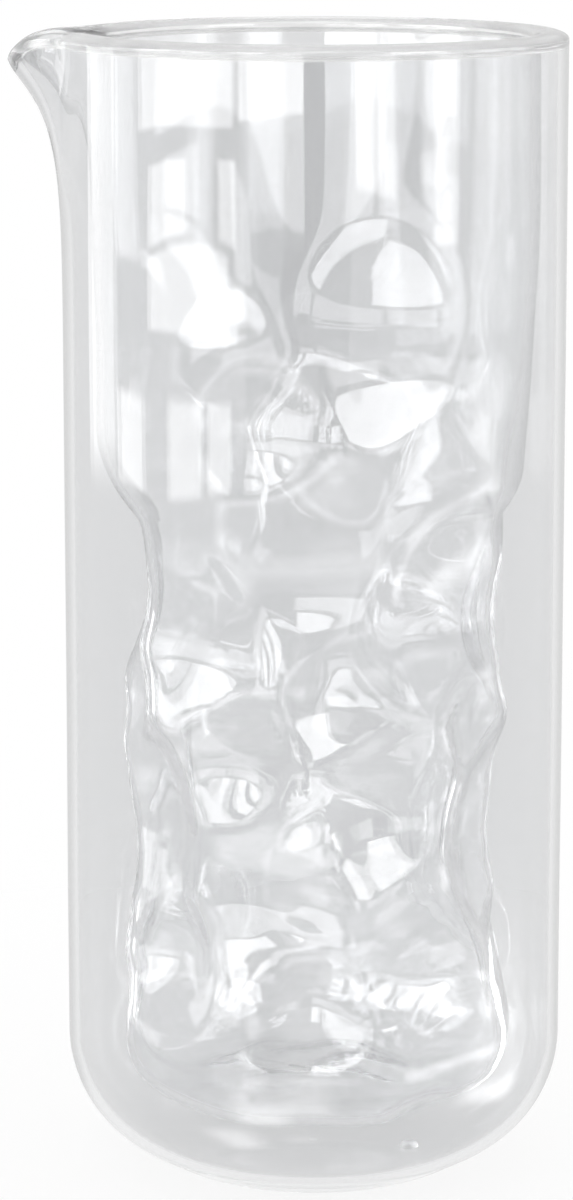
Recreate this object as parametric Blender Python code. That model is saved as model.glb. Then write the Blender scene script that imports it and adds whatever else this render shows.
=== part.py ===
"""Double-walled glass carafe: an outer wall and a dented inner vessel, joined at a rim with a pouring lip.

Metres, +Z up. The carafe stands on Z = 0, its body's axis is the Z axis, and the lip points along -X.
"""

from math import cos, pi, radians, sin, tan

import bmesh
import bpy
import numpy as np

# Outer wall: a straight glass body with a rounded heel that slopes down to a flat foot
BODY_RADIUS = 0.050
BODY_HEIGHT = 0.230
OUTER_WALL = 0.0020
HEEL_RADIUS = 0.025
HEEL_SLOPE = radians(29.5)
FOOT_INSET = 0.022
FOOT_BEND = 0.020

# Inner vessel: a smooth mouth, a shoulder, and a narrower lower part with dents pressed into it
INNER_WALL = 0.0018
WALL_GAP = 0.0035
SHOULDER_DROP = 0.096
SHOULDER_STEP = 0.0040
SHOULDER_BEND = 0.012
SHOULDER_SLOPE = 0.040
FLOOR_GAP = 0.0120
FLOOR_BEND = 0.013
FLOOR_DOME = 0.0020
FLOOR_FADE = 0.035
DENT_START = radians(293.2)
DENT_TURN = radians(136.55)
DENT_LEAD = 0.036
DENT_PITCH = 0.00311
DENT_FADE = 0.020
DENT_DEPTH = 0.0100
DENT_DEPTH_SPREAD = 0.25
DENT_HALF_HEIGHT = 0.0200
DENT_HALF_ANGLE = radians(26.8)
DENT_SIZE_SPREAD = 0.25

# Rim: the ring of melted glass that joins both walls, drawn out and down into a lip
RIM_DEPTH = 0.0030
RIM_ROUND = 0.0016
LIP_REACH = 0.0112
LIP_DIP = 0.0055
LIP_HALF_ANGLE = radians(10.0)
LIP_START = 0.0085
LIP_FALL = 0.0092
LIP_WALL = 0.0035
TROUGH_START = 0.0060
TROUGH_FALL = 0.0062
FLARE_LENGTH = 0.046

# Vent seal: the drop of glass that closes the vent in the base, drawn in by the cooling air
VENT_RADIUS = 0.0012
VENT_MARGIN = 0.0070
VENT_ANGLE = radians(-20.3)
SEAL_HEAD_RADIUS = 0.0020
SEAL_HEAD_HEIGHT = 0.0014
SEAL_RECESS = 0.0004

# Gap that is left where two pieces meet
SEAM = 0.0003

# Borosilicate glass
GLASS_IOR = 1.47

# Facets
SIDES = 56
LIP_CROWDING = 0.5
FLARE_RINGS = 8
FLARE_CROWDING = 1.5
MOUTH_RINGS = 6
SHOULDER_RINGS = 5
DENT_RINGS = 20
BEND_RINGS = 4
HEEL_RINGS = 6
FOOT_RINGS = 4
FLOOR_RINGS = 2
RIM_ARC_POINTS = 7
SEAL_SIDES = 20
SEAL_ARC_POINTS = 5
SHARP_ANGLE = radians(40.0)

# Exponents: how square the lip's shoulder is, how narrow its dip is, how early the vessel's shoulder swells
# and how crisp the dents' ridges are
LIP_SQUARENESS = 6.0
LIP_DIP_POWER = 4.0
SHOULDER_SWELL = 2.5
RIDGE_CRISPNESS = 9.0

# Turns from one dent to the next of the waves that make the dents' depths and sizes uneven
DEPTH_TURN = 1.931
SIZE_TURN = 5.953

# What follows from the sizes above
LIP_DIRECTION = pi
RIM_WIDTH = OUTER_WALL + WALL_GAP + INNER_WALL
MOUTH_RADIUS = BODY_RADIUS - RIM_WIDTH
LOWER_RADIUS = MOUTH_RADIUS - SHOULDER_STEP
TROUGH_REACH = LIP_REACH + RIM_WIDTH - LIP_WALL
FOOT_RADIUS = BODY_RADIUS - FOOT_INSET
HEEL_END_RADIUS = BODY_RADIUS - HEEL_RADIUS * (1 - sin(HEEL_SLOPE))
HEEL_END_HEIGHT = (HEEL_END_RADIUS - FOOT_RADIUS) * tan(HEEL_SLOPE)
HEEL_TOP = HEEL_END_HEIGHT + HEEL_RADIUS * cos(HEEL_SLOPE)
FLAT_RADIUS = FOOT_RADIUS - FOOT_BEND * tan(HEEL_SLOPE / 2)
FLOOR_HEIGHT = OUTER_WALL + FLOOR_GAP + INNER_WALL
FLARE_END = BODY_HEIGHT - FLARE_LENGTH
SHOULDER_HEIGHT = BODY_HEIGHT - SHOULDER_DROP
DENT_TOP = SHOULDER_HEIGHT + DENT_LEAD
BEND_TOP = FLOOR_HEIGHT + FLOOR_BEND
DENTS = 1 + max(0, round((DENT_TOP - BEND_TOP) / DENT_PITCH))
VENT_OFFSET = FOOT_RADIUS - VENT_MARGIN
VENT_X = VENT_OFFSET * cos(VENT_ANGLE)
VENT_Y = VENT_OFFSET * sin(VENT_ANGLE)


def clear_scene():
    """Removes the objects that the file starts with."""
    for old in list(bpy.data.objects):
        bpy.data.objects.remove(old, do_unlink=True)


def glass(name, colour, roughness):
    """Clear borosilicate glass with a faint tint."""
    material = bpy.data.materials.new(name)
    material.use_nodes = True
    shader = material.node_tree.nodes["Principled BSDF"]
    shader.inputs["Base Color"].default_value = (*colour, 1.0)
    shader.inputs["Roughness"].default_value = roughness
    shader.inputs["Metallic"].default_value = 0.0
    shader.inputs["Transmission Weight"].default_value = 1.0
    shader.inputs["IOR"].default_value = GLASS_IOR
    return material


def angles_around():
    """Angles round the axis, crowded together towards the lip."""
    turn = np.linspace(0.0, 2 * pi, SIDES, endpoint=False)
    return turn + LIP_CROWDING * np.sin(turn)


def angle_from(angle, direction):
    """The signed angle from a direction, between minus and plus half a turn."""
    return (angle - direction + pi) % (2 * pi) - pi


def lip_share(angle):
    """How much of the lip's reach there is at an angle: 1 at its tip, fading to nothing on both sides."""
    return np.exp(-((angle_from(angle, LIP_DIRECTION) / LIP_HALF_ANGLE) ** 2))


def flare(z, start, fall):
    """How far the lip's curve still flares at a height: 1 near the rim, then dying away below it."""
    below = (BODY_HEIGHT - z - start) / fall
    return (1.0 + np.exp(LIP_SQUARENESS * below)) ** (-1.0 / LIP_SQUARENESS)


def rim_height(angle):
    """Height of the rim, which dips at the tip of the lip."""
    return BODY_HEIGHT - LIP_DIP * lip_share(angle) ** LIP_DIP_POWER


def body_radius(angle, z):
    """Radius of the outer wall's outside above the heel."""
    return BODY_RADIUS + LIP_REACH * lip_share(angle) * flare(z, LIP_START, LIP_FALL)


def soft_step(share):
    """An S-shaped step from 0 to 1."""
    share = np.clip(share, 0.0, 1.0)
    return share**2 * (3.0 - 2.0 * share)


def shoulder_share(angle, z):
    """Share of the shoulder's step: a round bulge at the sides, a long soft step at front and back."""
    above = z - SHOULDER_HEIGHT
    bulge = 1.0 - (1.0 - soft_step(above / SHOULDER_BEND)) ** SHOULDER_SWELL
    step = soft_step(above / SHOULDER_SLOPE + 0.5)
    return step + (bulge - step) * np.cos(angle) ** 4


def dents(angle, z):
    """Depth of the dents as a share of the deepest: a spiral of uneven hollows that meet in soft ridges.

    Those above the shoulder fade out at the sides, and all of them fade towards the floor.
    """
    total = np.ones(np.broadcast(angle, z).shape)
    for count in range(DENTS):
        centre = DENT_START + count * DENT_TURN
        middle = DENT_TOP - count * DENT_PITCH
        above = min(max((middle - SHOULDER_HEIGHT) / DENT_FADE + 0.5, 0.0), 1.0)
        depth = 1.0 - DENT_DEPTH_SPREAD * (1.0 + sin(DEPTH_TURN * count))
        depth *= 1.0 - above * cos(centre) ** 2
        size = 1.0 + DENT_SIZE_SPREAD * sin(SIZE_TURN * count)
        across = angle_from(angle, centre) / (DENT_HALF_ANGLE * size)
        along = (z - middle) / (DENT_HALF_HEIGHT * size)
        total += np.exp(RIDGE_CRISPNESS * depth * (1.0 - across**2 - along**2))
    return np.log(total) / RIDGE_CRISPNESS * soft_step((z - FLOOR_HEIGHT) / FLOOR_FADE)


def vessel_radius(angle, z):
    """Radius of the inner vessel's inside above its floor."""
    straight = LOWER_RADIUS + SHOULDER_STEP * shoulder_share(angle, z)
    trough = TROUGH_REACH * lip_share(angle) * flare(z, TROUGH_START, TROUGH_FALL)
    return straight + trough - DENT_DEPTH * dents(angle, z)


def offset(radius, height, wall):
    """Moves a profile along its own normal. Rings run along axis 0, from the rim down to the middle."""
    along_radius = np.gradient(radius, axis=0)
    along_height = np.gradient(height, axis=0)
    length = np.hypot(along_radius, along_height)
    moved_radius = radius - wall * along_height / length
    moved_height = height + wall * along_radius / length
    moved_radius[0] = radius[0] + wall * length[0] / np.abs(along_height[0])
    moved_height[0] = height[0]
    moved_radius[-1] = radius[-1]
    moved_height[-1] = height[-1] - wall
    return moved_radius, moved_height


def ring_points(radius, height, angle):
    """Points of a stack of rings, as an array of rings, angles and coordinates."""
    return np.stack([radius * np.cos(angle), radius * np.sin(angle), height], axis=-1)


def new_object(name, points, faces, material):
    """A mesh object with its faces turned outwards, shaded smooth."""
    mesh = bpy.data.meshes.new(name)
    mesh.from_pydata([tuple(point) for point in points], [], faces)
    work = bmesh.new()
    work.from_mesh(mesh)
    bmesh.ops.recalc_face_normals(work, faces=work.faces)
    work.to_mesh(mesh)
    work.free()
    mesh.shade_smooth()
    mesh.set_sharp_from_angle(angle=SHARP_ANGLE)
    mesh.materials.append(material)
    made = bpy.data.objects.new(name, mesh)
    bpy.context.collection.objects.link(made)
    return made


def band(first, second, sides):
    """The quads between two neighbouring rings, given by the number of each ring's first point."""
    steps = [(side, (side + 1) % sides) for side in range(sides)]
    return [(first + a, first + b, second + b, second + a) for a, b in steps]


def vessel_mesh(name, outside, inside, material):
    """A cup: an outside and an inside, each a stack of rings down to a middle point, joined at the top."""
    rings, sides = outside.shape[0] - 1, outside.shape[1]
    middles = [outside[-1, 0], inside[-1, 0]]
    points = np.concatenate([outside[:-1].reshape(-1, 3), inside[:-1].reshape(-1, 3), middles])
    faces = band(0, rings * sides, sides)
    for wall in range(2):
        start = wall * rings * sides
        middle = 2 * rings * sides + wall
        last = start + (rings - 1) * sides
        for ring in range(rings - 1):
            faces += band(start + ring * sides, start + (ring + 1) * sides, sides)
        faces += [(last + side, last + (side + 1) % sides, middle) for side in range(sides)]
    return new_object(name, points, faces, material)


def ring_mesh(name, section, material):
    """A closed ring: sections round the axis, each a closed loop of points."""
    count, sides = section.shape[0], section.shape[1]
    faces = []
    for place in range(count):
        faces += band(place * sides, (place + 1) % count * sides, sides)
    return new_object(name, section.reshape(-1, 3), faces, material)


def wall_heights(angle, lower):
    """Heights of a wall's rings: from under the rim to the end of the flare, then the given lower heights."""
    top = rim_height(angle) - RIM_DEPTH - SEAM
    steps = np.linspace(0.0, 1.0, FLARE_RINGS)[:, None] ** FLARE_CROWDING
    flared = top + (FLARE_END - top) * steps
    straight = np.repeat(np.asarray(lower)[:, None], len(angle), axis=1)
    return np.concatenate([flared, straight])


def turned(profile, angle):
    """Radii and heights of a turned profile, the same at every angle."""
    radius = np.repeat(np.array([r for r, z in profile])[:, None], len(angle), axis=1)
    height = np.repeat(np.array([z for r, z in profile])[:, None], len(angle), axis=1)
    return radius, height


def make_outer_wall(material):
    """The outer wall: straight body, flare at the lip, round heel, sloping underside and flat vented foot."""
    angle = angles_around()
    upper_height = wall_heights(angle, [HEEL_TOP])
    upper_radius = body_radius(angle, upper_height)
    sweep = np.linspace(0.0, pi / 2 - HEEL_SLOPE, HEEL_RINGS)[1:]
    heel_centre = BODY_RADIUS - HEEL_RADIUS
    profile = [(heel_centre + HEEL_RADIUS * cos(t), HEEL_TOP - HEEL_RADIUS * sin(t)) for t in sweep]
    for t in np.linspace(HEEL_SLOPE, 0.0, FOOT_RINGS):
        profile.append((FLAT_RADIUS + FOOT_BEND * sin(t), FOOT_BEND * (1 - cos(t))))
    profile += [(FLAT_RADIUS / 2, 0.0), (0.0, 0.0)]
    lower_radius, lower_height = turned(profile, angle)
    radius = np.concatenate([upper_radius, lower_radius])
    height = np.concatenate([upper_height, lower_height])
    inner_radius, inner_height = offset(radius, height, -OUTER_WALL)
    outside = ring_points(radius, height, angle)
    inside = ring_points(inner_radius, inner_height, angle)
    wall = vessel_mesh("outer_wall", outside, inside, material)
    drill = make_vent_drill()
    cut = wall.modifiers.new("vent", "BOOLEAN")
    cut.operation = "DIFFERENCE"
    cut.solver = "EXACT"
    cut.object = drill
    return wall


def make_vent_drill():
    """The cutter for the vent in the base."""
    bpy.ops.mesh.primitive_cylinder_add(vertices=SEAL_SIDES, radius=VENT_RADIUS, depth=4 * OUTER_WALL)
    drill = bpy.context.object
    drill.name = "vent_drill"
    drill.location = (VENT_X, VENT_Y, OUTER_WALL / 2)
    drill.hide_render = True
    drill.display_type = "WIRE"
    return drill


def make_inner_wall(material):
    """The inner vessel: smooth mouth with its trough, rounded shoulder, dented lower part and domed floor."""
    angle = angles_around()
    shoulder = SHOULDER_HEIGHT + SHOULDER_BEND * np.linspace(1.0, 0.0, SHOULDER_RINGS) ** FLARE_CROWDING
    above = np.linspace(FLARE_END, shoulder[0], MOUTH_RINGS + 2)[1:-1]
    below = np.linspace(SHOULDER_HEIGHT, BEND_TOP, DENT_RINGS)[1:]
    upper_height = wall_heights(angle, np.concatenate([above, shoulder, below]))
    upper_radius = vessel_radius(angle, upper_height)
    foot_radius = upper_radius[-1]
    radii = [upper_radius]
    heights = [upper_height]
    for t in np.linspace(0.0, pi / 2, BEND_RINGS + 1)[1:]:
        radii.append([foot_radius - FLOOR_BEND * (1 - cos(t))])
        heights.append(np.full((1, SIDES), BEND_TOP - FLOOR_BEND * sin(t)))
    for share in np.linspace(1.0, 0.0, FLOOR_RINGS + 1)[1:]:
        radii.append([share * (foot_radius - FLOOR_BEND)])
        heights.append(np.full((1, SIDES), FLOOR_HEIGHT + FLOOR_DOME * (1 - share**2)))
    radius = np.concatenate(radii)
    height = np.concatenate(heights)
    outer_radius, outer_height = offset(radius, height, INNER_WALL)
    outside = ring_points(outer_radius, outer_height, angle)
    inside = ring_points(radius, height, angle)
    return vessel_mesh("inner_wall", outside, inside, material)


def make_rim(material):
    """The rim: a ring with a flat underside on both walls and a round top, drawn out and down at the lip."""
    angle = angles_around()
    underside = rim_height(angle) - RIM_DEPTH
    side = rim_height(angle) - RIM_ROUND
    outer_edge = body_radius(angle, side)
    inner_edge = vessel_radius(angle, side)
    middle = (outer_edge + inner_edge) / 2
    half_width = (outer_edge - inner_edge) / 2
    loop = [(body_radius(angle, underside), underside)]
    for t in np.linspace(0.0, pi, RIM_ARC_POINTS):
        loop.append((middle + half_width * cos(t), side + RIM_ROUND * sin(t)))
    loop.append((vessel_radius(angle, underside), underside))
    section = np.stack([ring_points(radius, height, angle) for radius, height in loop])
    return ring_mesh("pouring_rim", section, material)


def make_vent_seal(material):
    """The vent's seal: a stem in the vent, ending above the foot, and a domed head inside the base."""
    stem_radius = VENT_RADIUS - SEAM
    head_base = OUTER_WALL + SEAM
    profile = [(stem_radius, SEAL_RECESS), (stem_radius, head_base)]
    for t in np.linspace(0.0, pi / 2, SEAL_ARC_POINTS)[:-1]:
        profile.append((SEAL_HEAD_RADIUS * cos(t), head_base + SEAL_HEAD_HEIGHT * sin(t)))
    turn = np.linspace(0.0, 2 * pi, SEAL_SIDES, endpoint=False)
    rings = ring_points(*turned(profile, turn), turn)
    ends = [(0.0, 0.0, SEAL_RECESS), (0.0, 0.0, head_base + SEAL_HEAD_HEIGHT)]
    last = (len(rings) - 1) * SEAL_SIDES
    faces = []
    for first in range(0, last, SEAL_SIDES):
        faces += band(first, first + SEAL_SIDES, SEAL_SIDES)
    for first, middle in ((0, last + SEAL_SIDES), (last, last + SEAL_SIDES + 1)):
        faces += [(first + side, first + (side + 1) % SEAL_SIDES, middle) for side in range(SEAL_SIDES)]
    seal = new_object("vent_seal", np.concatenate([rings.reshape(-1, 3), ends]), faces, material)
    seal.location = (VENT_X, VENT_Y, 0.0)
    return seal


clear_scene()
carafe = bpy.data.objects.new("carafe", None)
bpy.context.collection.objects.link(carafe)
pieces = [
    make_outer_wall(glass("outer_glass", (0.90, 0.905, 0.91), 0.02)),
    make_inner_wall(glass("inner_glass", (0.97, 0.975, 0.98), 0.03)),
    make_rim(glass("rim_glass", (0.92, 0.925, 0.93), 0.02)),
    make_vent_seal(glass("seal_glass", (0.96, 0.965, 0.97), 0.05)),
]
for piece in pieces:
    piece.parent = carafe
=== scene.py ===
"""Looks of the double-walled carafe: clear blown glass on a white table, in soft daylight from windows.

Metres, +Z up, in the frame of the solids: the foot stands on Z = 0, the axis is Z, and the lip points
along -X.
"""

from math import atan, cos, pi, radians, sin, tan

import bpy
import numpy as np
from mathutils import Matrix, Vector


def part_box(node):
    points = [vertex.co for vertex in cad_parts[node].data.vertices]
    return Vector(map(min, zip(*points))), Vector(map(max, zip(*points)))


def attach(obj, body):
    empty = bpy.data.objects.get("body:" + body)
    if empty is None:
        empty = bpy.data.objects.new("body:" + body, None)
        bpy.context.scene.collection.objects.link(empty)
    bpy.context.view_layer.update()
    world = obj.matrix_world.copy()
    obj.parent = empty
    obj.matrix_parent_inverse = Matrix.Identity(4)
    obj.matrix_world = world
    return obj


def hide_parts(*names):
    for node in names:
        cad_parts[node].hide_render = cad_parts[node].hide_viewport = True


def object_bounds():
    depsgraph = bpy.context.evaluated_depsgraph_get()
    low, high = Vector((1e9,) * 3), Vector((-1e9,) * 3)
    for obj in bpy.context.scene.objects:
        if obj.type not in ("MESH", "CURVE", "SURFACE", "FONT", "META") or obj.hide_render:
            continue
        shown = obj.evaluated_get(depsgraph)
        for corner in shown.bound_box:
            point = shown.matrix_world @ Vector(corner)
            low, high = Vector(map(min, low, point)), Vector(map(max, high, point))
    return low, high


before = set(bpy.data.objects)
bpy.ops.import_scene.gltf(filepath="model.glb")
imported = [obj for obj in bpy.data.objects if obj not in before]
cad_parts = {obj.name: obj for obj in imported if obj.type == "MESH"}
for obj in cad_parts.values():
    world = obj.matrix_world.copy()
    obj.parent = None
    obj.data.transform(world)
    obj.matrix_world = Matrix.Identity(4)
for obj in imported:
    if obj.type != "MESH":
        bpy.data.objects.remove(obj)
cad_low, cad_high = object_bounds()

# Inner wall
# The vessel that holds the drink. It is borosilicate tube blown thin, with a smooth wide mouth and a rounded
# shoulder; below that its hot wall was pressed in by hand, in a spiral of dents that meet in ridges.

BODY_HEIGHT = cad_high.z
BODY_RADIUS = cad_high.y
OUTER_WALL = 0.0020
INNER_WALL = 0.0018
WALL_GAP = 0.0035
RIM_WIDTH = OUTER_WALL + WALL_GAP + INNER_WALL
RIM_DEPTH = 0.0030
# Glass that is melted to glass is kept this far apart, so that no two faces lie in one place
WELD_GAP = 0.00002
MOUTH_RADIUS = BODY_RADIUS - RIM_WIDTH
SHOULDER_DROP = 0.096
SHOULDER_STEP = 0.0040
SHOULDER_BEND = 0.012
SHOULDER_SLOPE = 0.040
SHOULDER_SWELL = 2.5
SHOULDER_SIDES_POWER = 4
FLOOR_HEIGHT = 0.0158
FLOOR_BEND = 0.013
FLOOR_DOME = 0.0020
DENTS = 46
DENT_START = radians(293.2)
DENT_TURN = radians(136.55)
DENT_DROP = 0.060
DENT_PITCH = 0.00311
DENT_FADE = 0.020
FLOOR_FADE = 0.035
DENT_DEPTH = 0.0100
DENT_DEPTH_SPREAD = 0.25
DENT_HALF_HEIGHT = 0.0200
DENT_HALF_ANGLE = radians(26.8)
DENT_SIZE_SPREAD = 0.25
DEPTH_TURN = 1.931
SIZE_TURN = 5.953
RIDGE_CRISPNESS = 9.0
LIP_DIRECTION = pi
LIP_HALF_ANGLE = radians(10.0)
LIP_REACH = 0.0112
LIP_DIP = 0.0043
LIP_DIP_POWER = 4.0
LIP_SQUARENESS = 6.0
LIP_WALL = 0.0035
TROUGH_REACH = LIP_REACH + RIM_WIDTH - LIP_WALL
TROUGH_START = 0.0048
TROUGH_FALL = 0.0062
WAVE_HEIGHT = 0.00042
# Each wave: how often it repeats round the wall, its turn per metre of height, and its start
HAND_WAVES = ((3, 38.0, 0.0), (5, -57.0, 1.3), (8, 21.0, 4.1))
RIPPLE_HEIGHT = 0.00014
RIPPLE_TOP = 0.095
RIPPLE_FADE = 0.040
# Each ripple: its repeats and its turn per metre, then the size, the repeats and the turn of the bend in it
CHILL_RIPPLES = ((9, 700.0, 2.0, 4, 0.0), (7, -950.0, 1.5, 5, 90.0))
FLOOR_WAVE = 0.0006
FLOOR_WAVE_REPEATS = 5
FLOOR_WAVE_TWIST = 9.0

SIDES = 280
LIP_CROWDING = 0.5
FLARE_LENGTH = 0.046
FLARE_RINGS = 36
FLARE_CROWDING = 1.6
VESSEL_RINGS = 96
BEND_RINGS = 14
FLOOR_RINGS = 12
SHARP_ANGLE = radians(40.0)

GLASS_IOR = 1.47
CLOUD_SCALE = 30.0
INNER_CLEAR = (0.992, 0.993, 0.995)
INNER_CAST = (0.980, 0.983, 0.987)
INNER_HAZE = 0.02


def angles_around():
    """Angles round the axis, closer together towards the lip: a turn plus a share of its sine."""
    even = np.linspace(0.0, 2 * pi, SIDES, endpoint=False)
    return even + LIP_CROWDING * np.sin(even)


def angle_from(angle, direction):
    """The signed angle from a direction, between minus and plus half a turn."""
    return (angle - direction + pi) % (2 * pi) - pi


def lip_share(angle):
    """Share of the lip's reach at an angle: a bell curve round the lip's direction."""
    return np.exp(-((angle_from(angle, LIP_DIRECTION) / LIP_HALF_ANGLE) ** 2))


def flare(z, start, fall):
    """How far the lip still flares at a height: 1 near the rim, falling exponentially below its start.

    It is one plus an exponential of the depth below the start, to the power of minus one over squareness.
    """
    below = (BODY_HEIGHT - z - start) / fall
    return (1.0 + np.exp(LIP_SQUARENESS * below)) ** (-1.0 / LIP_SQUARENESS)


def rim_height(angle):
    """Height of the rim: the body's height less the dip, which goes with a power of the lip's share."""
    return BODY_HEIGHT - LIP_DIP * lip_share(angle) ** LIP_DIP_POWER


def soft_step(share):
    """An S-shaped step from 0 to 1: three times the square less twice the cube."""
    share = np.clip(share, 0.0, 1.0)
    return share**2 * (3.0 - 2.0 * share)


def hand_waves(angle, z):
    """The uneven draw of blown glass: the mean of long sine waves that wind round the wall, from -1 to 1."""
    waves = [np.sin(repeats * angle + climb * z + start) for repeats, climb, start in HAND_WAVES]
    return sum(waves) / len(waves)


def chill_ripples(angle, z):
    """Fine ripples low on the wall, where the glass chilled first, from -1 to 1.

    They are the mean of crossing sine waves, each bent by a slower sine wave, and they fade out upwards.
    """
    ripples = []
    for repeats, climb, bend, bend_repeats, bend_climb in CHILL_RIPPLES:
        bent = bend * np.sin(bend_repeats * angle + bend_climb * z)
        ripples.append(np.sin(repeats * angle + climb * z + bent))
    return sum(ripples) / len(ripples) * soft_step((RIPPLE_TOP - z) / RIPPLE_FADE)


def dents(angle, z):
    """Depth of the dents as a share of the deepest.

    The dents wind down the wall in a spiral, each a parabolic hollow whose depth and size vary as sine waves
    of its count. Their soft maximum, the logarithm of one plus the sum of their exponentials, lets
    neighbours meet in rounded ridges. Those above the shoulder fade out at the sides, and all of them
    towards the floor.
    """
    total = np.ones(np.broadcast(angle, z).shape)
    for count in range(DENTS):
        centre = DENT_START + count * DENT_TURN
        middle = BODY_HEIGHT - DENT_DROP - count * DENT_PITCH
        above = min(max((middle - BODY_HEIGHT + SHOULDER_DROP) / DENT_FADE + 0.5, 0.0), 1.0)
        depth = 1.0 - DENT_DEPTH_SPREAD * (1.0 + sin(DEPTH_TURN * count))
        depth *= 1.0 - above * cos(centre) ** 2
        size = 1.0 + DENT_SIZE_SPREAD * sin(SIZE_TURN * count)
        across = angle_from(angle, centre) / (DENT_HALF_ANGLE * size)
        along = (z - middle) / (DENT_HALF_HEIGHT * size)
        total += np.exp(RIDGE_CRISPNESS * depth * (1.0 - across**2 - along**2))
    return np.log(total) / RIDGE_CRISPNESS * soft_step((z - FLOOR_HEIGHT) / FLOOR_FADE)


def shoulder_share(angle, z):
    """Share of the shoulder's step at a height.

    At the sides it is the round bottom of the mouth's bulge, a short step that swells early: one less a
    power of what is left of the step. At the front and the back it is a long soft step. A power of the
    angle's cosine leads from one to the other.
    """
    above = z - BODY_HEIGHT + SHOULDER_DROP
    ledge = 1.0 - (1.0 - soft_step(above / SHOULDER_BEND)) ** SHOULDER_SWELL
    step = soft_step(above / SHOULDER_SLOPE + 0.5)
    return step + (ledge - step) * np.cos(angle) ** SHOULDER_SIDES_POWER


def vessel_radius(angle, z):
    """Radius of the vessel's inside: its lower part, the shoulder's step and the trough, less the dents.

    The waves of the draw, which fade out towards the rim, and the ripples are added.
    """
    shoulder = SHOULDER_STEP * shoulder_share(angle, z)
    trough = TROUGH_REACH * lip_share(angle) * flare(z, TROUGH_START, TROUGH_FALL)
    waves = WAVE_HEIGHT * hand_waves(angle, z) * np.clip((BODY_HEIGHT - z) / FLARE_LENGTH, 0.0, 1.0)
    ripples = RIPPLE_HEIGHT * chill_ripples(angle, z)
    return MOUTH_RADIUS - SHOULDER_STEP + shoulder + trough - DENT_DEPTH * dents(angle, z) + waves + ripples


def offset(radius, height, wall):
    """Moves a profile along its normal by a wall's thickness; rings run from the rim down to the middle.

    The rim's ring moves only sideways, so that the edge stays level, and the middle's only up or down.
    """
    along_radius = np.gradient(radius, axis=0)
    along_height = np.gradient(height, axis=0)
    length = np.hypot(along_radius, along_height)
    moved_radius = radius - wall * along_height / length
    moved_height = height + wall * along_radius / length
    moved_radius[0] = radius[0] + wall * length[0] / np.abs(along_height[0])
    moved_height[0] = height[0]
    moved_radius[-1] = radius[-1]
    moved_height[-1] = height[-1] - wall
    return moved_radius, moved_height


def ring_points(radius, height, angle):
    """Points of a stack of rings: the radius times the angle's cosine and sine, and the height."""
    x = radius * np.cos(angle)
    y = radius * np.sin(angle)
    return np.stack([x, y, np.broadcast_to(height, x.shape)], axis=-1)


def wall_heights(angle, lower):
    """Heights of a wall's rings: crowded under the rim, down to the flare's end, then the lower ones."""
    top = rim_height(angle) - RIM_DEPTH - WELD_GAP
    steps = np.linspace(0.0, 1.0, FLARE_RINGS)[:, None] ** FLARE_CROWDING
    flared = top + (BODY_HEIGHT - FLARE_LENGTH - top) * steps
    return np.concatenate([flared, np.repeat(lower[:, None], len(angle), axis=1)])


def band_faces(rings, sides):
    """Quads between neighbouring rings of a grid that closes round the axis."""
    ring = np.arange(rings - 1)[:, None] * sides
    side = np.arange(sides)
    after = (side + 1) % sides
    corners = [ring + side, ring + after, ring + sides + after, ring + sides + side]
    return np.stack(corners, axis=-1).reshape(-1, 4)


def glass_object(name, points, faces, materials, fused):
    """A smooth mesh object; fused marks the faces melted to a neighbour, which take materials[1]."""
    mesh = bpy.data.meshes.new(name)
    mesh.from_pydata(points.tolist(), [], faces)
    mesh.shade_smooth()
    for material in materials:
        mesh.materials.append(material)
    mesh.polygons.foreach_set("material_index", np.asarray(fused, np.int32))
    mesh.set_sharp_from_angle(angle=SHARP_ANGLE)
    made = bpy.data.objects.new(name, mesh)
    bpy.context.collection.objects.link(made)
    return made


def cup_object(name, outside, inside, materials):
    """A cup as one surface: up the outside from its middle, over the edge, and down the inside."""
    rings = np.concatenate([outside[-2::-1], inside[:-1]])
    count, sides = rings.shape[:2]
    points = np.concatenate([rings.reshape(-1, 3), outside[-1, :1], inside[-1, :1]])
    side = np.arange(sides)
    after = (side + 1) % sides
    last = (count - 1) * sides
    under = np.stack([after, side, np.full(sides, count * sides)], axis=-1)
    floor = np.stack([last + side, last + after, np.full(sides, count * sides + 1)], axis=-1)
    walls = band_faces(count, sides)
    fused = np.zeros(len(walls) + 2 * sides, bool)
    edge = (len(outside) - 2) * sides
    fused[edge:edge + sides] = True
    faces = walls.tolist() + under.tolist() + floor.tolist()
    return glass_object(name, points, faces, materials, fused)


def link(tree, source, target):
    """Joins an output socket to an input socket."""
    tree.links.new(source, target)


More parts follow.
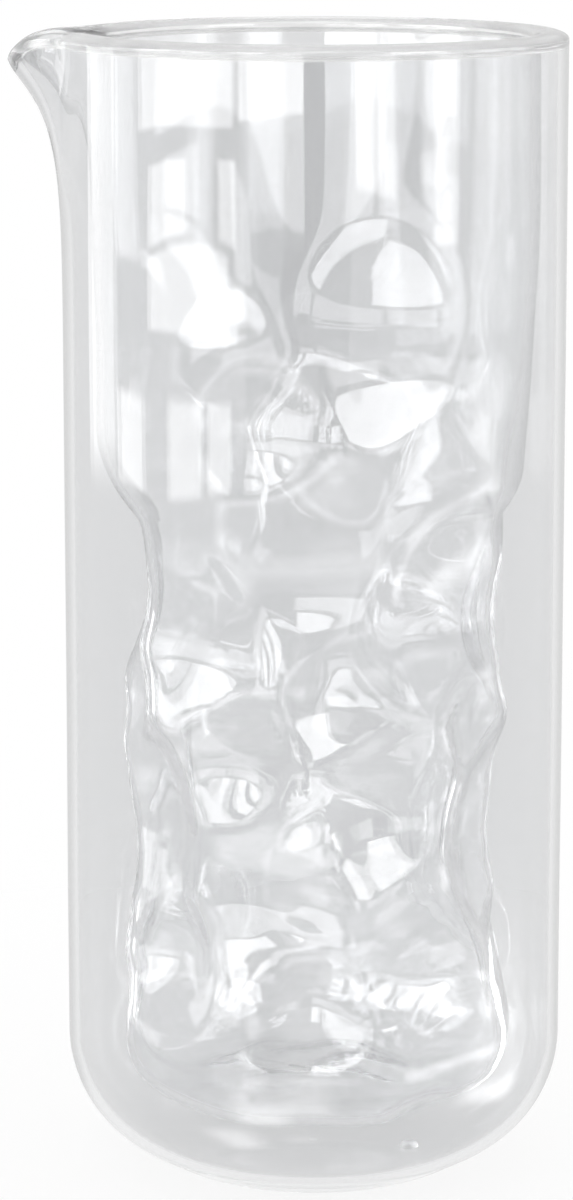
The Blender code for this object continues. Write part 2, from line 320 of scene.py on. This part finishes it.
def melt_marks_group():
    """Marks that lamp-working leaves in clear glass: clouds of a faint cast, hazier where denser."""
    group = bpy.data.node_groups.new("melt_marks", "ShaderNodeTree")
    inputs = (("Clear", "NodeSocketColor"), ("Cast", "NodeSocketColor"), ("Haze", "NodeSocketFloat"))
    for socket, kind in inputs:
        group.interface.new_socket(socket, in_out="INPUT", socket_type=kind)
    for socket, kind in (("Tint", "NodeSocketColor"), ("Roughness", "NodeSocketFloat")):
        group.interface.new_socket(socket, in_out="OUTPUT", socket_type=kind)
    given = group.nodes.new("NodeGroupInput")
    made = group.nodes.new("NodeGroupOutput")
    place = group.nodes.new("ShaderNodeTexCoord")
    cloud = group.nodes.new("ShaderNodeTexNoise")
    cloud.inputs["Scale"].default_value = CLOUD_SCALE
    cloud.inputs["Detail"].default_value = 0.0
    tint = group.nodes.new("ShaderNodeMix")
    tint.data_type = "RGBA"
    haze = group.nodes.new("ShaderNodeMath")
    haze.operation = "MULTIPLY"
    link(group, place.outputs["Object"], cloud.inputs["Vector"])
    link(group, cloud.outputs["Fac"], tint.inputs["Factor"])
    link(group, given.outputs["Clear"], tint.inputs["A"])
    link(group, given.outputs["Cast"], tint.inputs["B"])
    link(group, tint.outputs["Result"], made.inputs["Tint"])
    link(group, cloud.outputs["Fac"], haze.inputs[0])
    link(group, given.outputs["Haze"], haze.inputs[1])
    link(group, haze.outputs["Value"], made.inputs["Roughness"])
    return group


melt_marks = melt_marks_group()


def clear_glass(name, clear, cast, haze, transmission=1.0):
    """Clear glass with the group's tint and haze; what it doesn't transmit is milky."""
    material = bpy.data.materials.new(name)
    material.use_nodes = True
    tree = material.node_tree
    shader = tree.nodes["Principled BSDF"]
    shader.inputs["Transmission Weight"].default_value = transmission
    shader.inputs["IOR"].default_value = GLASS_IOR
    marks = tree.nodes.new("ShaderNodeGroup")
    marks.node_tree = melt_marks
    marks.inputs["Clear"].default_value = (*clear, 1.0)
    marks.inputs["Cast"].default_value = (*cast, 1.0)
    marks.inputs["Haze"].default_value = haze
    link(tree, marks.outputs["Tint"], shader.inputs["Base Color"])
    link(tree, marks.outputs["Roughness"], shader.inputs["Roughness"])
    return material


def fused_joint(name):
    """A face inside a melted joint, where the glass goes on without a surface: nothing is seen of it."""
    material = bpy.data.materials.new(name)
    material.use_nodes = True
    material.node_tree.nodes["Principled BSDF"].inputs["Alpha"].default_value = 0.0
    return material


weld = fused_joint("weld")
inner_glass = clear_glass("inner_glass", INNER_CLEAR, INNER_CAST, INNER_HAZE)

turn = angles_around()
bend_top = FLOOR_HEIGHT + FLOOR_BEND
vessel_height = wall_heights(turn, np.linspace(BODY_HEIGHT - FLARE_LENGTH, bend_top, VESSEL_RINGS)[1:])
vessel_inside = vessel_radius(turn, vessel_height)
bend = np.linspace(0.0, pi / 2, BEND_RINGS)[1:, None]
floor_share = np.linspace(1.0, 0.0, FLOOR_RINGS)[1:, None]
dome_share = 1 - floor_share**2
floor_waves = np.sin(FLOOR_WAVE_REPEATS * turn + FLOOR_WAVE_TWIST * floor_share)
vessel_inside = np.concatenate([
    vessel_inside,
    vessel_inside[-1] - FLOOR_BEND * (1 - np.cos(bend)),
    floor_share * (vessel_inside[-1] - FLOOR_BEND),
])
vessel_height = np.concatenate([
    vessel_height,
    np.repeat(bend_top - FLOOR_BEND * np.sin(bend), SIDES, axis=1),
    FLOOR_HEIGHT + FLOOR_DOME * dome_share + FLOOR_WAVE * dome_share * floor_share * floor_waves,
])
vessel_outside, vessel_outside_height = offset(vessel_inside, vessel_height, INNER_WALL)
inner_wall = cup_object(
    "inner_vessel",
    ring_points(vessel_outside, vessel_outside_height, turn),
    ring_points(vessel_inside, vessel_height, turn),
    [inner_glass, weld],
)
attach(inner_wall, "root")
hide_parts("inner_wall")

# Outer wall
# The straight sleeve that keeps the air space round the vessel. It is a wider borosilicate tube, closed at
# the bottom in a rounded heel that slopes down to a small flat foot, with a vent that is closed last of all.

HEEL_RADIUS = 0.025
HEEL_SLOPE = radians(29.5)
FOOT_RADIUS = 0.028
FOOT_BEND = 0.020
LIP_START = 0.0070
LIP_FALL = 0.0092
SLEEVE_WAVE = 0.00012
SLEEVE_WAVE_TURN = 1.0
BODY_RINGS = 60
HEEL_RINGS = 26
SLOPE_RINGS = 8
FOOT_RINGS = 14
SLEEVE_CLEAR = (0.844, 0.847, 0.852)
SLEEVE_CAST = (0.828, 0.832, 0.838)
SLEEVE_HAZE = 0.015
HEEL_END_RADIUS = BODY_RADIUS - HEEL_RADIUS * (1 - sin(HEEL_SLOPE))
HEEL_END_HEIGHT = (HEEL_END_RADIUS - FOOT_RADIUS) * tan(HEEL_SLOPE)
HEEL_TOP = HEEL_END_HEIGHT + HEEL_RADIUS * cos(HEEL_SLOPE)
BEND_SPAN = FOOT_BEND * tan(HEEL_SLOPE / 2)
FLAT_RADIUS = FOOT_RADIUS - BEND_SPAN
SLOPE_END_RADIUS = FOOT_RADIUS + BEND_SPAN * cos(HEEL_SLOPE)
SLOPE_END_HEIGHT = BEND_SPAN * sin(HEEL_SLOPE)


def body_radius(angle, z):
    """Radius of the sleeve's outside: the straight body plus the lip's flare and the waves of the draw.

    The waves are turned against those of the vessel, and soft steps fade them out towards rim and heel.
    """
    fade = soft_step((BODY_HEIGHT - z) / FLARE_LENGTH) * soft_step((z - HEEL_TOP) / FLARE_LENGTH)
    waves = SLEEVE_WAVE * hand_waves(angle + SLEEVE_WAVE_TURN, z) * fade
    return BODY_RADIUS + LIP_REACH * lip_share(angle) * flare(z, LIP_START, LIP_FALL) + waves


outer_glass = clear_glass("outer_glass", SLEEVE_CLEAR, SLEEVE_CAST, SLEEVE_HAZE)
sleeve_height = wall_heights(turn, np.linspace(BODY_HEIGHT - FLARE_LENGTH, HEEL_TOP, BODY_RINGS)[1:])
sleeve_radius = body_radius(turn, sleeve_height)
heel = np.linspace(0.0, pi / 2 - HEEL_SLOPE, HEEL_RINGS)[1:, None]
slope = np.linspace(0.0, 1.0, SLOPE_RINGS)[1:, None]
foot_bend = np.linspace(HEEL_SLOPE, 0.0, SLOPE_RINGS)[1:, None]
foot_share = np.linspace(1.0, 0.0, FOOT_RINGS)[1:, None]
base_radius = np.concatenate([
    BODY_RADIUS - HEEL_RADIUS * (1 - np.cos(heel)),
    HEEL_END_RADIUS + (SLOPE_END_RADIUS - HEEL_END_RADIUS) * slope,
    FLAT_RADIUS + FOOT_BEND * np.sin(foot_bend),
    FLAT_RADIUS * foot_share,
])
base_height = np.concatenate([
    HEEL_TOP - HEEL_RADIUS * np.sin(heel),
    HEEL_END_HEIGHT + (SLOPE_END_HEIGHT - HEEL_END_HEIGHT) * slope,
    FOOT_BEND * (1 - np.cos(foot_bend)),
    np.zeros_like(foot_share),
])
sleeve_radius = np.concatenate([sleeve_radius, np.repeat(base_radius, SIDES, axis=1)])
sleeve_height = np.concatenate([sleeve_height, np.repeat(base_height, SIDES, axis=1)])
sleeve_inside, sleeve_inside_height = offset(sleeve_radius, sleeve_height, -OUTER_WALL)
outer_wall = cup_object(
    "outer_sleeve",
    ring_points(sleeve_radius, sleeve_height, turn),
    ring_points(sleeve_inside, sleeve_inside_height, turn),
    [outer_glass, weld],
)
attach(outer_wall, "root")
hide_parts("outer_wall")

# Pouring rim
# The ring where both walls were melted together and the air space was closed. While it was soft it was drawn
# out and down with a tool into the pouring lip, and the flame left its top edge round.

RIM_ROUND = 0.0016
RIM_ARC_RINGS = 22
ARCH_RISE = 0.0008
ARCH_RINGS = 9
RIM_CLEAR = (0.985, 0.986, 0.988)
RIM_CAST = (0.970, 0.972, 0.975)
RIM_HAZE = 0.20
RIM_TRANSMISSION = 0.82

rim_glass = clear_glass("rim_glass", RIM_CLEAR, RIM_CAST, RIM_HAZE, RIM_TRANSMISSION)
underside = rim_height(turn) - RIM_DEPTH
round_start = rim_height(turn) - RIM_ROUND
outer_edge = body_radius(turn, round_start)
inner_edge = vessel_radius(turn, round_start)
arc = np.linspace(0.0, pi, RIM_ARC_RINGS)[:, None]
top_radius = (outer_edge + inner_edge) / 2 + (outer_edge - inner_edge) / 2 * np.cos(arc)
top_height = round_start + RIM_ROUND * np.sin(arc)
sleeve_edge = sleeve_inside[0]
vessel_edge = vessel_outside[0]
arch = np.linspace(0.0, pi, ARCH_RINGS)[:, None]
arch_radius = (sleeve_edge + vessel_edge) / 2 - (sleeve_edge - vessel_edge) / 2 * np.cos(arch)
arch_height = underside + ARCH_RISE * np.sin(arch)
section_radius = np.concatenate([
    body_radius(turn, underside)[None],
    top_radius,
    vessel_radius(turn, underside)[None],
    arch_radius,
])
section_height = np.concatenate([underside[None], top_height, underside[None], arch_height])
section = ring_points(section_radius, section_height, turn)
count = len(section)
closed = band_faces(count + 1, SIDES) % (count * SIDES)
seats = np.zeros(len(closed), bool)
inner_seat = (RIM_ARC_RINGS + 1) * SIDES
seats[inner_seat:inner_seat + SIDES] = True
seats[-SIDES:] = True
pouring_rim = glass_object("melted_rim", section.reshape(-1, 3), closed.tolist(), [rim_glass, weld], seats)
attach(pouring_rim, "root")
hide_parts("pouring_rim")

# Vent seal
# The drop of glass that closes the vent in the base. The air space breathes through the vent while the rim
# is melted; last of all the vent is touched with a flame and the drop is drawn in a little as it cools.

seal_low, seal_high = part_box("vent_seal")
SEAL_RADIUS = (seal_high.x - seal_low.x) / 2
SEAL_X = (seal_low.x + seal_high.x) / 2
SEAL_Y = (seal_low.y + seal_high.y) / 2
SEAL_BASE = OUTER_WALL + WELD_GAP
SEAL_SIDES = 48
SEAL_RINGS = 12
SEAL_HAZE = 0.04

seal_glass = clear_glass("seal_glass", RIM_CLEAR, RIM_CAST, SEAL_HAZE)
seal_turn = np.linspace(0.0, 2 * pi, SEAL_SIDES, endpoint=False)
drop = np.linspace(0.0, pi / 2, SEAL_RINGS)[:-1, None]
seal_height = SEAL_BASE + (seal_high.z - OUTER_WALL) * np.sin(drop)
seal_rings = ring_points(SEAL_RADIUS * np.cos(drop), seal_height, seal_turn)
seal_ends = [[0.0, 0.0, SEAL_BASE], [0.0, 0.0, seal_high.z]]
seal_points = np.concatenate([seal_rings.reshape(-1, 3), seal_ends]) + [SEAL_X, SEAL_Y, 0.0]
seal_side = np.arange(SEAL_SIDES)
seal_after = (seal_side + 1) % SEAL_SIDES
last = (len(seal_rings) - 1) * SEAL_SIDES
under = np.stack([seal_after, seal_side, np.full(SEAL_SIDES, last + SEAL_SIDES)], axis=-1)
over = np.stack([last + seal_side, last + seal_after, np.full(SEAL_SIDES, last + SEAL_SIDES + 1)], axis=-1)
seal_faces = band_faces(len(seal_rings), SEAL_SIDES).tolist() + under.tolist() + over.tolist()
vent_seal = glass_object("vent_drop", seal_points, seal_faces, [seal_glass], np.zeros(len(seal_faces), bool))
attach(vent_seal, "root")
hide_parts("vent_seal")

# Table
# A plain pale table top that keeps the carafe's soft shadow and fades out into the white round it. The glass
# doesn't mirror it: the ground light of the surroundings takes its place there.

TABLE_RADIUS = 0.50
TABLE_HOLE = 0.001
TABLE_FADE = 0.42
TABLE_DROP = 0.0002
TABLE_SHADE = 0.10
TABLE_RINGS = 24
TABLE_SIDES = 64
# A ray with more glossy bounces than this has been mirrored
HALF_BOUNCE = 0.5

table_turn = np.linspace(0.0, 2 * pi, TABLE_SIDES, endpoint=False)
reach = np.linspace(TABLE_RADIUS, TABLE_HOLE, TABLE_RINGS)[:, None]
table_points = ring_points(reach, np.full_like(reach, -TABLE_DROP), table_turn).reshape(-1, 3)
table_mesh = bpy.data.meshes.new("table")
table_mesh.from_pydata(table_points.tolist(), [], band_faces(TABLE_RINGS, TABLE_SIDES).tolist())
table = bpy.data.objects.new("table", table_mesh)
bpy.context.collection.objects.link(table)
table_white = bpy.data.materials.new("table_white")
table_white.use_nodes = True
table_tree = table_white.node_tree
shader = table_tree.nodes["Principled BSDF"]
shader.inputs["Base Color"].default_value = (TABLE_SHADE, TABLE_SHADE, TABLE_SHADE, 1.0)
shader.inputs["Emission Color"].default_value = (1.0, 1.0, 1.0, 1.0)
shader.inputs["Emission Strength"].default_value = 1.0 - TABLE_SHADE
shader.inputs["Roughness"].default_value = 1.0
shader.inputs["Specular IOR Level"].default_value = 0.0
table_place = table_tree.nodes.new("ShaderNodeTexCoord")
far = table_tree.nodes.new("ShaderNodeVectorMath")
far.operation = "LENGTH"
near_share = table_tree.nodes.new("ShaderNodeMapRange")
near_share.interpolation_type = "SMOOTHSTEP"
near_share.inputs["From Min"].default_value = TABLE_RADIUS
near_share.inputs["From Max"].default_value = TABLE_RADIUS - TABLE_FADE
table_path = table_tree.nodes.new("ShaderNodeLightPath")
unmirrored = table_tree.nodes.new("ShaderNodeMath")
unmirrored.operation = "LESS_THAN"
unmirrored.inputs[1].default_value = HALF_BOUNCE
shown = table_tree.nodes.new("ShaderNodeMath")
shown.operation = "MULTIPLY"
link(table_tree, table_place.outputs["Object"], far.inputs[0])
link(table_tree, far.outputs["Value"], near_share.inputs["Value"])
link(table_tree, table_path.outputs["Glossy Depth"], unmirrored.inputs[0])
link(table_tree, near_share.outputs["Result"], shown.inputs[0])
link(table_tree, unmirrored.outputs["Value"], shown.inputs[1])
link(table_tree, shown.outputs["Value"], shader.inputs["Alpha"])
table_mesh.materials.append(table_white)

# Daylight
# White surroundings, seen straight and through the glass. What the glass mirrors is a pale room, a little
# brighter at the sides, with windows, shaded places between them and bright places on the table.

ROOM_FRONT = 0.75
ROOM_SIDE = 0.95
ROOM_BACK = 0.74
GROUND_LIGHT = 0.96
# Azimuths from the front, and slopes below level, between which one light changes into the next
SIDE_RAMP = (radians(50.0), radians(120.0))
BACK_RAMP = (radians(146.0), radians(164.0))
GROUND_RAMP = (-0.40, -0.50)
LEAST_LEVEL = 0.001
# Each patch: the azimuths of its sides in degrees, the slopes of its lower and upper edge, the strength that
# it adds to the room's light, and the softness of its edges
LIGHT_PATCHES = (
    # Windows that the straight parts of the walls mirror, left to right and downwards
    (-124.0, -102.0, -0.170, 0.08, 2.0, 0.010),
    (-86.0, -37.0, -0.086, 0.08, 3.2, 0.001),
    (-34.0, -5.0, -0.084, 0.08, 3.2, 0.001),
    (18.0, 36.0, -0.100, 0.08, 2.4, 0.002),
    (56.0, 68.0, -0.115, 0.08, 2.4, 0.002),
    (-80.0, -60.0, -0.116, -0.096, 3.2, 0.001),
    (-44.0, -36.0, -0.116, -0.096, 3.2, 0.001),
    (-80.0, -40.0, -0.134, -0.118, 3.2, 0.001),
    (-100.0, -84.0, -0.172, -0.150, 3.0, 0.002),
    (-70.0, -53.0, -0.172, -0.148, 3.0, 0.002),
    (-50.0, -39.0, -0.172, -0.148, 3.0, 0.002),
    # Shaded places beside and under these windows
    (-32.0, -5.0, -0.150, -0.088, -0.7, 0.004),
    (-5.0, 16.0, -0.170, 0.10, -0.7, 0.004),
    (38.0, 54.0, -0.125, 0.08, -0.7, 0.004),
    # High windows that the dents mirror, with a shaded place in front
    (-90.0, -70.0, 0.12, 0.90, 7.0, 0.002),
    (-64.0, -50.0, 0.12, 0.60, 7.0, 0.002),
    (-40.0, -24.0, 0.12, 0.80, 7.0, 0.002),
    (-18.0, -6.0, 0.12, 0.50, 7.0, 0.002),
    (-6.0, 35.0, 0.12, 0.80, -0.4, 0.004),
    (35.0, 62.0, 0.15, 0.80, 7.0, 0.002),
    # Bright places on the table, which the dents and the heel mirror
    (-16.0, 8.0, -0.66, -0.34, 2.2, 0.120),
    (-18.0, 0.0, -1.90, -1.50, 1.0, 0.150),
    (-38.0, -14.0, -0.95, -0.45, 3.0, 0.150),
    (-70.0, -40.0, -2.40, -1.20, 2.2, 0.200),
    (78.0, 112.0, -0.62, -0.36, 3.0, 0.120),
)

world = bpy.data.worlds.new("daylight")
bpy.context.scene.world = world
world.use_nodes = True
world_tree = world.node_tree


def math_node(operation, *values):
    """A Math node of the world, whose inputs are numbers or sockets."""
    node = world_tree.nodes.new("ShaderNodeMath")
    node.operation = operation
    for index, value in enumerate(values):
        if isinstance(value, bpy.types.NodeSocket):
            link(world_tree, value, node.inputs[index])
        else:
            node.inputs[index].default_value = value
    return node.outputs["Value"]


def smooth_step(value, start, end):
    """A Map Range node of the world: 0 before start, 1 after end, smooth between them."""
    node = world_tree.nodes.new("ShaderNodeMapRange")
    node.interpolation_type = "SMOOTHSTEP"
    link(world_tree, value, node.inputs["Value"])
    node.inputs["From Min"].default_value = start
    node.inputs["From Max"].default_value = end
    return node.outputs["Result"]


gaze = world_tree.nodes.new("ShaderNodeTexCoord")
split = world_tree.nodes.new("ShaderNodeSeparateXYZ")
link(world_tree, gaze.outputs["Generated"], split.inputs["Vector"])
east, north, up = (split.outputs[axis] for axis in "XYZ")
azimuth = math_node("ARCTAN2", east, math_node("MULTIPLY", north, -1.0))
level = math_node("SQRT", math_node("ADD", math_node("POWER", east, 2.0), math_node("POWER", north, 2.0)))
rise = math_node("DIVIDE", up, math_node("MAXIMUM", level, LEAST_LEVEL))
off_front = math_node("ABSOLUTE", azimuth)
side_share = smooth_step(off_front, *SIDE_RAMP)
back_share = smooth_step(off_front, *BACK_RAMP)
ground_share = smooth_step(rise, *GROUND_RAMP)
light = math_node("MULTIPLY_ADD", side_share, ROOM_SIDE - ROOM_FRONT, ROOM_FRONT)
light = math_node("MULTIPLY_ADD", back_share, ROOM_BACK - ROOM_SIDE, light)
light = math_node("MULTIPLY", light, math_node("SUBTRACT", 1.0, ground_share))
light = math_node("MULTIPLY_ADD", ground_share, GROUND_LIGHT, light)
for left, right, sill, head, strength, softness in LIGHT_PATCHES:
    aside = math_node("ABSOLUTE", math_node("SUBTRACT", azimuth, radians(left + right) / 2))
    half = radians(right - left) / 2
    across = smooth_step(aside, half + softness, half - softness)
    above = smooth_step(rise, sill - softness, sill + softness)
    below = smooth_step(rise, head + softness, head - softness)
    patch = math_node("MULTIPLY", across, math_node("MULTIPLY", above, below))
    light = math_node("MULTIPLY_ADD", patch, strength, light)
path = world_tree.nodes.new("ShaderNodeLightPath")
mirrored = math_node("GREATER_THAN", path.outputs["Glossy Depth"], HALF_BOUNCE)
seen = world_tree.nodes.new("ShaderNodeMix")
seen.inputs["A"].default_value = 1.0
link(world_tree, mirrored, seen.inputs["Factor"])
link(world_tree, light, seen.inputs["B"])
background = world_tree.nodes["Background"]
background.inputs["Color"].default_value = (1.0, 1.0, 1.0, 1.0)
link(world_tree, seen.outputs["Result"], background.inputs["Strength"])

# Camera
# It stands in front of the carafe, a little above its rim, and looks down at it. The pixel values are those
# of the photograph's frame.

IMAGE_WIDTH = 573
IMAGE_HEIGHT = 1200
CAMERA_DISTANCE = 0.800
CAMERA_HEIGHT = 0.2781
CAMERA_PITCH = 0.1708
FOCAL_PIXELS = 4050.0
AXIS_PIXEL = 314.6
LENS_SHIFT = -0.1
SENSOR = 36.0
# Light runs on for long inside the thin walls: with fewer bounces their edges turn black
LIGHT_BOUNCES = 400

lens = bpy.data.cameras.new("camera")
lens.sensor_width = SENSOR
lens.lens = FOCAL_PIXELS * SENSOR / IMAGE_HEIGHT
lens.shift_y = LENS_SHIFT
camera = bpy.data.objects.new("camera", lens)
bpy.context.collection.objects.link(camera)
camera_turn = atan((AXIS_PIXEL - IMAGE_WIDTH / 2) / FOCAL_PIXELS)
camera.location = (0.0, -CAMERA_DISTANCE, CAMERA_HEIGHT)
camera.rotation_euler = (pi / 2 - CAMERA_PITCH, 0.0, camera_turn)
scene = bpy.context.scene
scene.camera = camera
scene.view_settings.view_transform = "Standard"
scene.cycles.max_bounces = LIGHT_BOUNCES
scene.cycles.transmission_bounces = LIGHT_BOUNCES
scene.cycles.glossy_bounces = LIGHT_BOUNCES
scene.cycles.transparent_max_bounces = LIGHT_BOUNCES
